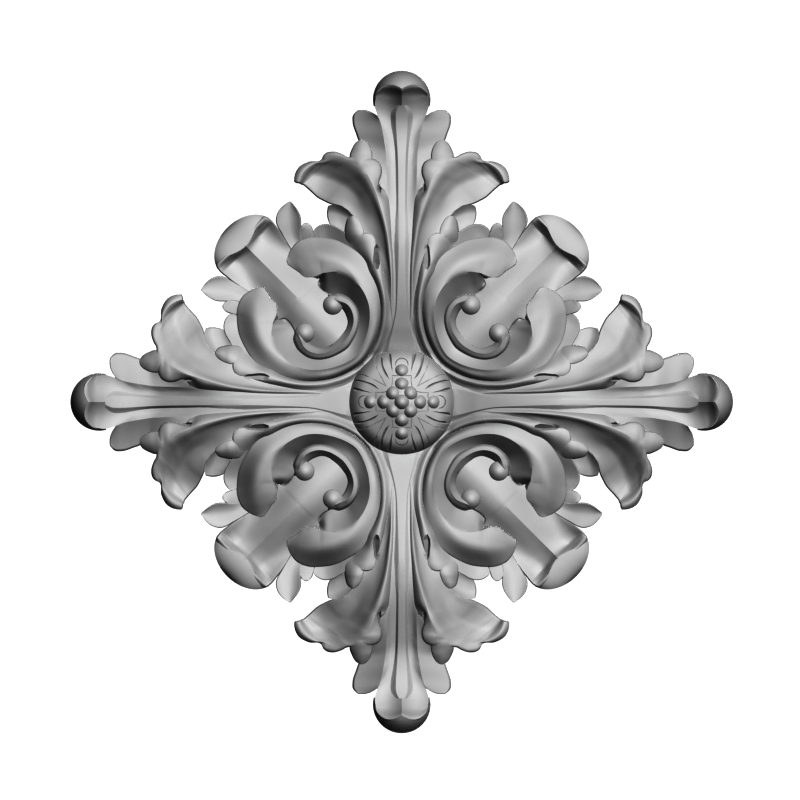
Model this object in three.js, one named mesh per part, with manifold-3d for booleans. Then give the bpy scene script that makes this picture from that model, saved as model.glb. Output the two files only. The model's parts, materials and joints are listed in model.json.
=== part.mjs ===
// Carved rosette for a wall or ceiling: four acanthus arms and four scrolled corners round a beaded boss.
// It is carved in one piece with a flat back. The carving is worked out face up, x to the right, y up the
// wall and z out of the wall, and the finished piece is then stood upright with its back to the wall.
import * as THREE from 'three';
import { mergeVertices } from 'three/addons/utils/BufferGeometryUtils.js';
import Module from 'manifold-3d';

const wasm = await Module();
wasm.setup();

// Driving dimensions, in millimetres
const SPAN = 331; // across the tips of two opposite arms
const GROUND = 4; // thickness of wood under the lowest hollow
const SPAN_SQUARES = 662; // the same span on the squared drawing that the carving is set out on
const SQUARE = SPAN / SPAN_SQUARES;
const PLANED = 3; // wood below the back that is planed away at the end, so that the back is one flat face

// Sizes set out in squares of the drawing
const BOSS = { radius: 52.3, dome: 53, rise: 44, height: 20, steps: 4, sides: 24 };
const COLLAR = { radius: 60, height: 12 };
const BEAD = { radius: 5.8, sink: 0.5, around: 6, down: 3 };
const BEAD_ROWS = [17.5, 30.5]; // out from the centre along each arm
const BEAD_DIAGONAL = 8.3;
const BALL = { x: 69, y: 97, height: 39, radius: 9.8, around: 7, down: 5 };
const ARM_TIP = { y: 302.5, radius: 28.7, dome: 29.4, rise: 52, height: 13 };
const ARM_TIP_LIP = { middle: 10.5, spread: 15.8, power: 1.25, below: 8, reach: 194, steps: 8 };
const CAP = { start: 220, half: 36.3, length: 26.6, rise: 20.5, height: 1, steps: 6 };
const CAP_LIP = { start: 220.6, wave: 7.1, bay: 30 };
const LIP_PLACES = [0, 0.6, 1]; // where a lip or cap is drawn, from its inner to its outer edge
const HALF_TURN = 180;

// Leaves and bands: each line is one section from root to tip, with its points across as [x, y, height]
const ARM = [
  [[0, 46, 13], [15, 46, 12], [22, 46, 12]],
  [[0, 74, 34], [9.5, 74, 34], [11.5, 74, 34]],
  [[0, 98, 48], [7.2, 98, 47.5], [10, 98, 47.4]],
  [[0, 130, 61], [7.2, 130, 59], [10.8, 130, 59]],
  [[0, 162, 66.5], [8.2, 162, 63], [12.8, 162, 64]],
  [[0, 194, 56.5], [7, 194, 55.8], [12.5, 194, 57]],
  [[0, 230, 35.5], [7.5, 230, 33], [15, 230, 36.5]],
  [[0, 262, 22.5], [9.5, 262, 18.7], [17.8, 262, 23]],
  [[0, 284, 27], [14.5, 284, 19.2], [23.5, 284, 22]],
  [[0, 302, 42], [18, 302, 29.5], [27.3, 302, 31]],
  [[0, 313, 58.5], [17, 313, 41], [25.5, 311, 38]],
  [[0, 320, 51], [15, 321, 42], [21, 318, 32]],
];
const SHOULDER = [
  [[12, 208, 49.5], [17, 212, 48.5], [23, 216, 46.5]],
  [[13, 228, 38], [18, 231, 36], [25, 236, 31]],
  [[14, 252, 23.5], [29, 257, 12.5], [42.5, 261, 4]],
  [[18.5, 280, 21], [36, 281, 9.5], [49.3, 281, 3]],
  [[25, 290, 22], [36, 292.5, 10], [44.5, 292, 5]],
];
const BIG_LEAF = [
  [[8, 98, 47], [10.5, 98, 48.8], [11.5, 98, 48], [13, 98, 47.5], [17, 98, 49]],
  [[9, 122, 58], [10.4, 122, 59.8], [12, 122, 57.5], [14.3, 122, 54], [22, 121, 52]],
  [[10, 149, 63.5], [12, 147, 66], [14.5, 146.5, 61], [20, 145, 54.8], [30, 140, 49]],
  [[11.5, 190, 59], [18, 186, 70], [23, 183, 62], [33, 177, 50.5], [42, 172, 46]],
  [[18, 221, 50.5], [30, 216, 64], [38.5, 210.5, 49.5], [47, 205, 36.3], [60, 194.8, 33.5]],
  [[27, 243, 43.5], [44, 236, 49.5], [57, 228, 30.5], [70, 220, 14.5], [84, 203.5, 12]],
  [[60, 249.7, 31], [66, 244.5, 31.5], [77, 236, 17.5], [87, 225, 6.5], [98, 216, 8]],
  [[75, 250.3, 23.5], [76, 243, 24], [86, 238, 20], [94, 232.5, 18.5], [102, 218.5, 16]],
  [[79.3, 246.5, 20], [83, 242.2, 18], [93, 240.3, 14], [102, 235, 12], [108, 222, 10]],
];
const BIG_LEAF_TOP_LOBE = [
  [[28, 230, 55], [36, 227, 56], [48, 231, 44]],
  [[27.5, 244, 44], [37.5, 243, 48], [52.5, 243, 39.5]],
  [[30.5, 257, 32.5], [39.5, 257, 35.5], [48.3, 257, 29]],
  [[39, 263, 28.5], [41, 263.3, 28.5], [43, 262.5, 28]],
];
const BACK_LOBE = [
  [[48, 190, 36], [50, 182, 35], [52, 172, 34]],
  [[60, 197.5, 33], [60, 187, 30.5], [60, 172, 31]],
  [[73, 198.5, 25], [75, 190, 22], [72.5, 178, 24]],
];
const INNER_LEAF = [
  [[20, 44, 11], [30, 46, 17], [34, 47, 15]],
  [[9.5, 74, 33], [18.5, 74, 39.5], [24, 75, 34]],
  [[11, 106, 49], [17.5, 106, 58.8], [24.5, 106, 47]],
  [[20, 132, 56.5], [25.5, 132, 62], [36, 131, 48]],
  [[26.3, 148, 53.5], [29.5, 148, 57.3], [44, 147, 42]],
  [[26.5, 163, 52.5], [33, 164, 55.8], [46, 163, 48]],
  [[31, 169, 51.5], [35, 169, 53], [42, 167, 51]],
];
const INNER_LEAF_TOP_LOBE = [
  [[33, 150, 55], [37, 150, 51], [50, 150, 36]],
  [[36.8, 167, 53.5], [41, 166, 53], [57, 164, 36]],
  [[39.5, 181, 46.5], [45.5, 180, 48.5], [54.5, 179, 40]],
  [[46.5, 188.3, 42], [48.3, 188.7, 42.5], [50, 187.8, 41.5]],
];
const INNER_LEAF_SIDE_LOBE = [
  [[48, 164, 46.5], [48, 151, 38]],
  [[65, 175.8, 30.5], [68, 161, 25]],
  [[82, 177.8, 23.5], [85, 163.5, 15.5]],
  [[87.5, 174, 20.5], [88.5, 166, 16.5]],
];
const SCROLL = [ // outer edge, crest, hollow, floor, crest of the volute and its inner edge
  [[38.5, 38.5, 14], [46, 46, 47], [51, 51, 40], [54.5, 54.5, 36.5], [58.5, 58.5, 49], [63, 63, 37]],
  [[23.5, 68, 30.5], [34, 71, 51.5], [39, 71.5, 43], [44, 72, 39.5], [49.8, 73.5, 48.5], [55.5, 73.5, 35]],
  [[20.7, 100, 46.5], [33, 98, 59.3], [39, 96.5, 47], [45, 94, 38], [50, 91, 48.5], [56.5, 88.5, 33]],
  [[34, 139.5, 48], [47, 126, 60], [52, 114.5, 45], [57, 106.5, 34], [59, 101, 47.5], [63, 97.5, 40]],
  [[63, 161.8, 27.5], [65, 139.5, 55.5], [69.5, 119, 40], [70, 109.3, 32], [69.5, 103, 46], [69, 97, 42]],
  [[95, 165, 15.8], [87, 143, 44.3], [82, 127.8, 46], [80.5, 119.5, 36], [80, 114, 29], [79.5, 111, 24]],
  [[106, 159.5, 15.8], [99, 143.5, 34.5], [93, 126, 37.5], [92, 123, 28], [91, 120, 22], [90, 118, 20]],
  [[114.3, 144, 18.5], [113, 141.5, 21.3], [112, 139, 22], [111, 137, 18], [110, 136, 16], [109, 135, 15]],
];
const STEM = { trough: 20 };
const STEM_RUN = [ // along the diagonal, half width, then heights of the ridge, trough and edge
  [60, 28, 36.5, 27, 22], [80, 35, 41, 30.5, 20], [98, 36, 39.5, 28.5, 17], [122, 34, 27.6, 14.5, 11],
  [142, 33, 14.5, 4, 12.5], [150, 35.5, 12.5, 2, 14.5], [158, 36, 18, 10, 15], [164, 33, 14, 10, 8],
];
const POINTED_LEAF = [
  [[96, 156, 16], [106, 154, 13], [116, 156, 13]],
  [[100.5, 178, 23.5], [113, 179, 16.5], [126, 179, 19]],
  [[105, 194.5, 24], [113, 196, 18.5], [123, 196, 21]],
  [[110, 200.5, 22], [112, 201.7, 20.5], [116, 200.8, 20]],
];
const ROUND_LOBE = [
  [[86, 162, 13], [94, 161, 13], [103, 161, 13]],
  [[89.5, 176, 21.5], [95.3, 176, 22.5], [100.5, 176, 23]],
  [[93.5, 179.2, 22.5], [95.5, 179.6, 23], [97.5, 179.2, 23]],
];

// A smooth curve through points of the drawing, as steps + 1 points
function curveThrough(points, steps) {
  if (points.length === 2 && steps === 1) return points;
  return new THREE.CatmullRomCurve3(points, false, 'centripetal').getPoints(steps);
}

// The top of a leaf: curves run along it through its sections, and then across it at each step
function leaf(sections, along, across) {
  const points = sections.map((section) => section.map((point) => new THREE.Vector3(...point)));
  const rails = points[0].map((_, rail) => curveThrough(points.map((section) => section[rail]), along));
  return rails[0].map((_, step) => curveThrough(rails.map((rail) => rail[step]), across));
}

// Sections mirrored across the arm's centre line, and a run that starts on the diagonal carried past it
function bothSides(sections) {
  return sections.map((section) => {
    const other = section.slice(1).reverse();
    return [...other.map(([x, y, z]) => [-x, y, z]), ...section];
  });
}
function bothWays(sections) {
  const other = sections.slice(1).reverse();
  return [...other.map((section) => section.map(([x, y, z]) => [y, x, z])), ...sections];
}

// A point by its distance along and to the left of the diagonal
function onDiagonal(along, aside, height) {
  return [(along - aside) * Math.SQRT1_2, (along + aside) * Math.SQRT1_2, height];
}

// The lip of an arm tip: a crescent of a dome between a wavy inner edge and a round outer edge
function armTipLip() {
  const grid = [];
  const start = HALF_TURN - ARM_TIP_LIP.reach;
  const turn = ARM_TIP_LIP.reach - start;
  for (let step = 0; step <= ARM_TIP_LIP.steps; step++) {
    const angle = THREE.MathUtils.degToRad(start + (turn * step) / ARM_TIP_LIP.steps);
    const side = Math.abs(Math.cos(angle)) ** ARM_TIP_LIP.power;
    const below = Math.max(0, -Math.sin(angle)) * ARM_TIP_LIP.below;
    const inner = ARM_TIP_LIP.middle + ARM_TIP_LIP.spread * side + below;
    grid.push(LIP_PLACES.map((part) => {
      const radius = THREE.MathUtils.lerp(inner, ARM_TIP.radius, part);
      const height = ARM_TIP.height + ARM_TIP.rise * Math.sqrt(1 - (radius / ARM_TIP.dome) ** 2);
      return new THREE.Vector3(radius * Math.cos(angle), ARM_TIP.y + radius * Math.sin(angle), height);
    }));
  }
  return grid;
}

// The rounded cap of a corner stem, behind a lip that waves back to either side of the diagonal
function stemCap() {
  const grid = [];
  for (let step = 0; step <= CAP.steps; step++) {
    const aside = CAP.half * Math.sin(Math.PI * (step / CAP.steps - 0.5));
    const bay = Math.min(Math.abs(aside), CAP_LIP.bay) / CAP_LIP.bay;
    const inner = CAP_LIP.start + (CAP_LIP.wave * (1 - Math.cos(Math.PI * bay))) / 2;
    const outer = CAP.start + CAP.length * Math.sqrt(1 - (aside / CAP.half) ** 2);
    grid.push(LIP_PLACES.map((part) => {
      const along = THREE.MathUtils.lerp(inner, Math.max(outer, inner + 1), part);
      const reach = ((along - CAP.start) / CAP.length) ** 2 + (aside / CAP.half) ** 4;
      const height = CAP.height + CAP.rise * Math.sqrt(Math.max(0, 1 - reach));
      return new THREE.Vector3(...onDiagonal(along, aside, height));
    }));
  }
  return grid;
}

// A copy of a grid of points, turned by quarters about the centre and mirrored if asked
function placed(grid, quarter, mirrored) {
  const axis = new THREE.Vector3(0, 0, 1);
  const side = new THREE.Vector3(mirrored ? -1 : 1, 1, 1);
  const turn = (quarter * Math.PI) / 2;
  return grid.map((row) => row.map((point) => point.clone().multiply(side).applyAxisAngle(axis, turn)));
}

// Twice the area that a grid covers on the drawing, negative where it runs clockwise
function coveredArea(grid) {
  let area = 0;
  for (let row = 1; row < grid.length; row++) {
    for (let column = 1; column < grid[row].length; column++) {
      const a = grid[row - 1][column - 1];
      const across = grid[row][column].clone().sub(a);
      const other = grid[row][column - 1].clone().sub(grid[row - 1][column]);
      area += across.x * other.y - across.y * other.x;
    }
  }
  return area;
}

// A closed geometry as a solid that can be joined and cut
function toSolid(geometry) {
  geometry.deleteAttribute('normal');
  geometry.deleteAttribute('uv');
  const merged = mergeVertices(geometry);
  return new wasm.Manifold(new wasm.Mesh({
    numProp: 3,
    vertProperties: new Float32Array(merged.attributes.position.array),
    triVerts: new Uint32Array(merged.index.array),
  }));
}

// The solid under a grid: its carved top, walls straight down and a flat underside below the back
function carvedSolid(drawn) {
  const grid = coveredArea(drawn) < 0 ? drawn.map((row) => [...row].reverse()) : drawn;
  const rows = grid.length;
  const columns = grid[0].length;
  const points = grid.flat();
  const underside = rows * columns;
  const positions = [];
  for (const point of points) positions.push(point.x * SQUARE, point.y * SQUARE, point.z * SQUARE + GROUND);
  for (const point of points) positions.push(point.x * SQUARE, point.y * SQUARE, -PLANED);
  const triangles = [];
  for (let row = 1; row < rows; row++) {
    for (let column = 1; column < columns; column++) {
      const a = (row - 1) * columns + column - 1;
      const b = a + 1;
      const c = b + columns;
      const d = a + columns;
      triangles.push(a, b, c, a, c, d);
      triangles.push(a + underside, c + underside, b + underside);
      triangles.push(a + underside, d + underside, c + underside);
    }
  }
  const rim = [];
  for (let column = 0; column < columns - 1; column++) rim.push(column);
  for (let row = 0; row < rows - 1; row++) rim.push(row * columns + columns - 1);
  for (let column = columns - 1; column > 0; column--) rim.push((rows - 1) * columns + column);
  for (let row = rows - 1; row > 0; row--) rim.push(row * columns);
  rim.forEach((a, step) => {
    const b = rim[(step + 1) % rim.length];
    triangles.push(a, b + underside, b, a, a + underside, b + underside);
  });
  const geometry = new THREE.BufferGeometry();
  geometry.setAttribute('position', new THREE.Float32BufferAttribute(positions, 3));
  geometry.setIndex(triangles);
  return toSolid(geometry);
}

function ballSolid(x, y, height, size) {
  const geometry = new THREE.SphereGeometry(size.radius * SQUARE, size.around, size.down);
  geometry.translate(x * SQUARE, y * SQUARE, height * SQUARE + GROUND);
  return toSolid(geometry);
}

function bossHeight(radius) {
  return BOSS.height + BOSS.rise * Math.sqrt(1 - (radius / BOSS.dome) ** 2);
}

// The boss, turned about the centre, with its domed face and the collar that it stands on
function bossSolid() {
  const profile = [[0, -PLANED], [COLLAR.radius * SQUARE, -PLANED]];
  const top = COLLAR.height * SQUARE + GROUND;
  profile.push([COLLAR.radius * SQUARE, top], [BOSS.radius * SQUARE, top]);
  for (let step = BOSS.steps; step >= 0; step--) {
    const radius = BOSS.radius * Math.sin((Math.PI / 2) * (step / BOSS.steps));
    profile.push([radius * SQUARE, bossHeight(radius) * SQUARE + GROUND]);
  }
  const points = profile.map((point) => new THREE.Vector2(...point));
  return toSolid(new THREE.LatheGeometry(points, BOSS.sides).rotateX(Math.PI / 2));
}

// Forms that stand on an arm's centre line or on a diagonal, one to a quarter,
// each drawn with so many steps along it and across it
const stemSections = STEM_RUN.map(([place, half, ridge, trough, edge]) => {
  const along = place * Math.SQRT2;
  return [[-half, edge], [-STEM.trough, trough], [0, ridge], [STEM.trough, trough], [half, edge]]
    .map(([aside, height]) => onDiagonal(along, aside, height));
});
const quarterForms = [
  leaf(bothSides(ARM), 7, 4),
  armTipLip(),
  leaf(bothWays(SCROLL), 13, 5),
  leaf(stemSections, 3, 4),
  stemCap(),
];

// Forms to one side of an arm: two to a quarter, the second mirrored
const sideForms = [
  leaf(SHOULDER, 3, 1),
  leaf(BIG_LEAF, 7, 4),
  leaf(BIG_LEAF_TOP_LOBE, 3, 2),
  leaf(BACK_LOBE, 2, 1),
  leaf(INNER_LEAF, 4, 2),
  leaf(INNER_LEAF_TOP_LOBE, 3, 2),
  leaf(INNER_LEAF_SIDE_LOBE, 3, 1),
  leaf(POINTED_LEAF, 3, 2),
  leaf(ROUND_LOBE, 2, 1),
];

// All the forms and beads grow out of one block
let carving = bossSolid().add(ballSolid(0, 0, bossHeight(0) - BEAD.sink, BEAD));
for (let quarter = 0; quarter < 4; quarter++) {
  for (const form of quarterForms) carving = carving.add(carvedSolid(placed(form, quarter, false)));
  for (const form of sideForms) {
    carving = carving.add(carvedSolid(placed(form, quarter, false)));
    carving = carving.add(carvedSolid(placed(form, quarter, true)));
  }
  const beads = BEAD_ROWS.map((out) => [0, out]);
  beads.push([BEAD_DIAGONAL, BEAD_DIAGONAL]);
  const centres = beads.map(([x, y]) => new THREE.Vector3(x, y, bossHeight(Math.hypot(x, y)) - BEAD.sink));
  const [turnedBeads] = placed([centres], quarter, false);
  for (const bead of turnedBeads) carving = carving.add(ballSolid(bead.x, bead.y, bead.z, BEAD));
  for (const mirrored of [false, true]) {
    const [[ball]] = placed([[new THREE.Vector3(BALL.x, BALL.y, BALL.height)]], quarter, mirrored);
    carving = carving.add(ballSolid(ball.x, ball.y, ball.z, BALL));
  }
}

// The back is planed flat
const waste = new THREE.BoxGeometry(2 * SPAN, 2 * SPAN, 2 * PLANED).translate(0, 0, -PLANED);
const carved = carving.subtract(toSolid(waste)).getMesh();

const rosetteGeometry = new THREE.BufferGeometry();
rosetteGeometry.setAttribute('position', new THREE.BufferAttribute(carved.vertProperties, 3));
rosetteGeometry.setIndex(new THREE.BufferAttribute(carved.triVerts, 1));
rosetteGeometry.computeVertexNormals();

const greyPrimer = new THREE.MeshStandardMaterial({ color: 0x848484, roughness: 0.85, metalness: 0 });
const rosette = new THREE.Mesh(rosetteGeometry, greyPrimer);
rosette.name = 'rosette';

// Stood upright: its top is up, its face looks forwards along -Y and its back lies in the plane of the wall
const ornament = new THREE.Group();
ornament.rotation.x = Math.PI / 2;
ornament.add(rosette);

export default ornament;
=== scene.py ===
import json
import math

import bmesh
import bpy
import numpy as np
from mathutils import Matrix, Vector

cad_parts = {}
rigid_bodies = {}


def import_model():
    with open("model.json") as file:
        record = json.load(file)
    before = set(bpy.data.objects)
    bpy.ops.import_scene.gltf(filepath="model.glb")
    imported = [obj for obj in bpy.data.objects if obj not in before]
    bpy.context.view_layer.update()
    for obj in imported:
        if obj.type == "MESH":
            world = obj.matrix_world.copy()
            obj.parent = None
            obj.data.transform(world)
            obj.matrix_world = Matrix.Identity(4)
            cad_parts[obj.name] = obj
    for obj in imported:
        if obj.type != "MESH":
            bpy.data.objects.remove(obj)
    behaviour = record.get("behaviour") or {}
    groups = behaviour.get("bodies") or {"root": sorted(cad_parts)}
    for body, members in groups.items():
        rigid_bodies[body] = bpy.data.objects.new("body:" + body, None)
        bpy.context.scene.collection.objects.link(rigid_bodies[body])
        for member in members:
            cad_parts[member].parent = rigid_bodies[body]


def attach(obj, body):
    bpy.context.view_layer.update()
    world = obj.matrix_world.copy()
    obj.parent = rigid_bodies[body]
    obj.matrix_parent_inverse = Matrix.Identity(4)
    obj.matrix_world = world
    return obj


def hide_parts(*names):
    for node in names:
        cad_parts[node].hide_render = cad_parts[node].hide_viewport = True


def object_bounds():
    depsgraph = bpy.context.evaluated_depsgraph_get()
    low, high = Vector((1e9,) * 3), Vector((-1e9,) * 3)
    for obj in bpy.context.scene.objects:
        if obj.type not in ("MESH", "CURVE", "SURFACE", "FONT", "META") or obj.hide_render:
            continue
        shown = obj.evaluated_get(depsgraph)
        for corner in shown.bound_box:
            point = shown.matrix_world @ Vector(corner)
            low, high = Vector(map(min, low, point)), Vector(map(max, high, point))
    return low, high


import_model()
cad_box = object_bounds()

# The rosette: one acanthus carving cut from a single block of close-grained wood, with a flat back that is
# glued or pinned to the wall. A quarter is set out on squared paper, each point as squares to the right, up
# and above the ground, and each leaf is carved through sections from its root to its tip.
SQUARES_ACROSS = 662.4
SQUARE = (cad_box[1][0] - cad_box[0][0]) / SQUARES_ACROSS
MOST_SLOPE = 3
TINY = 1e-6


def smooth_run(points, gaps, steps):
    """Curves through rows of points, with so many steps to each gap; heights never swing past a point."""
    gaps = gaps[..., None]
    rise = np.diff(points, axis=0) / gaps
    slope = np.concatenate([rise[:1], rise])
    if len(points) > 2:
        before, after = rise[:-1], rise[1:]
        inner = (before * gaps[1:] + after * gaps[:-1]) / (gaps[1:] + gaps[:-1])
        slope = np.concatenate([2 * rise[:1] - inner[:1], inner, 2 * rise[-1:] - inner[-1:]])
        gentler = np.minimum(np.abs(before), np.abs(after))[..., 2] * ((before * after)[..., 2] > 0)
        limit = MOST_SLOPE * np.concatenate([np.abs(rise[:1, :, 2]), gentler, np.abs(rise[-1:, :, 2])])
        slope[..., 2] = np.clip(slope[..., 2], -limit, limit)
    runs = []
    for k, count in enumerate(steps):
        last = k == len(steps) - 1
        f = np.linspace(0, 1, count + last, last)[:, None, None]
        runs.append((1 + 2 * f) * (1 - f) ** 2 * points[k] + f * (1 - f) ** 2 * gaps[k] * slope[k]
                    + f * f * (3 - 2 * f) * points[k + 1] + f * f * (f - 1) * gaps[k] * slope[k + 1])
    return np.concatenate(runs)


def run_along(sections, rows):
    """Rows of points along a leaf, so many from each of its sections to the next."""
    points = np.array(sections, float)
    chords = np.linalg.norm(np.diff(points[..., :2], axis=0), axis=2).mean(axis=1, keepdims=True)
    return smooth_run(points, chords, [rows] * (len(points) - 1))


def run_across(rails, steps, creases=()):
    """The full surface of a leaf, smooth across its rails, with a break of slope at each crease."""
    rails = rails.transpose(1, 0, 2)
    ends = [0, *creases, len(rails) - 1]
    strips = []
    for first, last in zip(ends[:-1], ends[1:]):
        strip = rails[first:last + 1]
        spans = np.linalg.norm(np.diff(strip[..., :2], axis=0), axis=2) + TINY
        strips.append(smooth_run(strip, spans, steps[first:last])[:-1])
    return np.concatenate(strips + [rails[-1:]]).transpose(1, 0, 2)


# In squares, the width of the rounding and the height of the leaning side below it. In parts, the most of the
# first strip that the rounding may take, and how far in and how far down its middle lies.
EDGE_ROUND = 1.9
EDGE_DRAFT = 4.5
ROUND_SHARE = 0.7
TURN_IN = 0.55
TURN_DOWN = 0.25


def rolled(surface, edge):
    """One free edge of a surface: rounded over, then a side that leans out a little towards the ground."""
    grid = surface.transpose(1, 0, 2) if edge in ("root", "tip") else surface
    grid = grid[:, ::-1] if edge in ("tip", "right") else grid
    brim, inside = grid[:, :1], grid[:, 1:2]
    gap = np.linalg.norm((inside - brim)[..., :2], axis=2)[..., None] + TINY
    inward = (inside - brim) * np.minimum(EDGE_ROUND, ROUND_SHARE * gap) / gap
    turn = brim + inward * TURN_IN - np.array([0, 0, TURN_DOWN * EDGE_ROUND])
    foot = brim - np.array([0, 0, EDGE_DRAFT])
    grid = np.concatenate([foot, turn, brim + inward, grid[:, 1:]], axis=1)
    grid = grid[:, ::-1] if edge in ("tip", "right") else grid
    return grid.transpose(1, 0, 2) if edge in ("root", "tip") else grid


# Squares from the back up to the ground, and squares of waste below the back that are planed off in the end
GROUND = 8
WASTE = 6


def solid(name, points, faces, collection=None):
    """A closed form from points of the drawing."""
    x, y, height = np.array(points, float).T
    mesh = bpy.data.meshes.new(name)
    mesh.from_pydata(np.stack([x, -height - GROUND, y], 1) * SQUARE, [], faces)
    shape = bmesh.new()
    shape.from_mesh(mesh)
    bmesh.ops.recalc_face_normals(shape, faces=shape.faces)
    shape.to_mesh(mesh)
    shape.free()
    form = bpy.data.objects.new(name, mesh)
    if collection:
        collection.objects.link(form)
    return form


def block(name, surface, collection, level=-GROUND - WASTE):
    """The wood between a surface and a level below the back, or above the work for a form that cuts."""
    rows, columns = surface.shape[:2]
    top = surface.reshape(-1, 3)
    flat = top * np.array([1, 1, 0]) + np.array([0, 0, level])
    n = rows * columns
    index = np.arange(n).reshape(rows, columns)
    carved = np.stack([index[:-1, :-1], index[:-1, 1:], index[1:, 1:], index[1:, :-1]], -1).reshape(-1, 4)
    rim = np.concatenate([index[0, :-1], index[:-1, -1], index[-1, :0:-1], index[:0:-1, 0]])
    after = np.roll(rim, -1)
    walls = np.stack([after, rim, rim + n, after + n], -1)
    solid(name, np.concatenate([top, flat]), np.concatenate([carved, carved[:, ::-1] + n, walls]), collection)


MIRROR = np.array([-1, 1, 1])
quarter_forms = bpy.data.collections.new("forms of one quarter")


def carve(name, surface, paired=True, free="tip left right"):
    """One form of the quarter, and its mirror image on the other side of the arm if it comes in pairs."""
    for edge in free.split():
        surface = rolled(surface, edge)
    block(name, surface, quarter_forms)
    if paired:
        block(name + " mirrored", surface * MIRROR, quarter_forms)


def leaf(name, sections, rows, steps, creases=(), **kind):
    """A leaf carved through its sections, each a row of points from one side to the other."""
    carve(name, run_across(run_along(sections, rows), steps, creases), **kind)


def both_sides(sections):
    """Sections that start on the middle line, with their mirror images before them."""
    return [[(-x, y, z) for x, y, z in s[:0:-1]] + s for s in sections]


def both_ways(sections):
    """Sections that start at the diagonal, led up to by the same sections on its other side."""
    return [[(y, x, z) for x, y, z in s] for s in sections[:0:-1]] + sections


# The arm: a long leaf that climbs from the boss and falls to a cupped tip, with a midrib along its middle and
# a shoulder on either side of its end
leaf("arm", both_sides([
    [(0, 46, 14), (16.5, 46, 13), (30, 46, 13.5)],
    [(0, 58, 22), (16, 58, 20.3), (22, 58, 22)],
    [(0, 74, 33), (11.5, 74, 33.3), (16, 74, 36)],
    [(0, 98, 46.5), (7.5, 98, 47.2), (13, 98, 46)],
    [(0, 130, 59.5), (8, 130, 58.8), (11.5, 130, 58)],
    [(0, 162, 64.3), (8.8, 162, 62.8), (12.8, 162, 62.5)],
    [(0, 194, 53.5), (9.3, 194, 54.8), (12.5, 194, 56)],
    [(0, 230, 31.5), (9.8, 230, 32.2), (15, 230, 36.8)],
    [(0, 250, 20.5), (10, 250, 20.4), (15.9, 250, 24.3)],
    [(0, 264, 20), (9.5, 264, 18.5), (18.2, 264, 23)],
    [(0, 278, 22.5), (12.5, 278, 18.2), (21, 278, 20.8)],
    [(0, 291, 30.5), (16.5, 291, 21.5), (25.6, 291, 23.7)],
    [(0, 297, 36), (17.5, 297, 25.3), (27.1, 296.5, 27.3)],
    [(0, 302, 41.7), (18, 302, 29.5), (27.3, 302, 31.6)],
    [(0, 307, 48.5), (18, 308, 35.5), (26.9, 305, 34.2)],
    [(0, 313.3, 60), (17, 316.6, 48.5), (24.5, 310.6, 40.5)],
    [(0, 316, 52), (15, 319.5, 42), (23.5, 312.5, 32)],
]), rows=4, steps=(4, 6, 6, 4), creases=(2,), paired=False, free="")

# Place along the arm, half width and height of the flat top, then width and drop of the sloping sides
MIDRIB_CROWN = 0.2
MIDRIB_SAG = 0.55
midrib = [(46, 14, 17.3, 7, 5), (52, 13.3, 21.3, 5.5, 4.8), (60, 12, 26, 3.6, 3.8), (68, 10, 31.2, 2.6, 3),
          (74, 8.6, 35.3, 2.2, 3), (82, 6.9, 40.1, 2, 2.8), (90, 5.6, 44.7, 1.8, 2.8), (98, 4.9, 49, 2, 3),
          (114, 4.2, 56.3, 2.6, 3.2), (130, 3.6, 62, 4, 4.2), (146, 3.2, 66, 5, 5),
          (158, 3.1, 67.3, 5.3, 5.2), (178, 3.1, 63.6, 4.8, 4.2), (194, 3.3, 57, 2.6, 3.6),
          (210, 3.4, 48, 2.4, 4), (230, 3.6, 36, 2.4, 4.4), (250, 4.2, 25, 2.6, 5), (265, 5, 22.8, 4, 5),
          (280, 5.8, 25.5, 5, 6.5), (290, 5.4, 31, 5, 6.5), (296.5, 2.5, 36, 3, 4)]
leaf("midrib", both_sides([
    [(0, y, z), (half, y, z - MIDRIB_CROWN), (half + side / 2, y, z - MIDRIB_SAG * drop),
     (half + side, y, z - drop)]
    for y, half, z, side, drop in midrib
]), rows=4, steps=(2, 2, 2, 2, 2, 2), paired=False, free="")


def arm_tip_lip():
    """The cupped end of an arm: a crescent of a dome with a wavy inner edge."""
    centre, outer = 302.5, 28.7
    dome_radius, dome_foot, dome_rise = 29.4, 13, 52
    narrowest, wave, wave_power, below = 10.8, 15.5, 1.35, 8
    crowding = 0.7
    angle = np.radians(np.linspace(start=-14, stop=194, num=56))[:, None]
    part = np.linspace(0, 1, num=12)[None] ** crowding
    inner = narrowest + wave * np.abs(np.cos(angle)) ** wave_power + below * np.maximum(0, -np.sin(angle))
    radius = inner * (1 - part) + outer * part
    height = dome_foot + dome_rise * np.sqrt(1 - (radius / dome_radius) ** 2)
    return np.stack([radius * np.cos(angle), centre + radius * np.sin(angle), height], 2)


carve("arm tip lip", arm_tip_lip(), paired=False, free="right")

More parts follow.
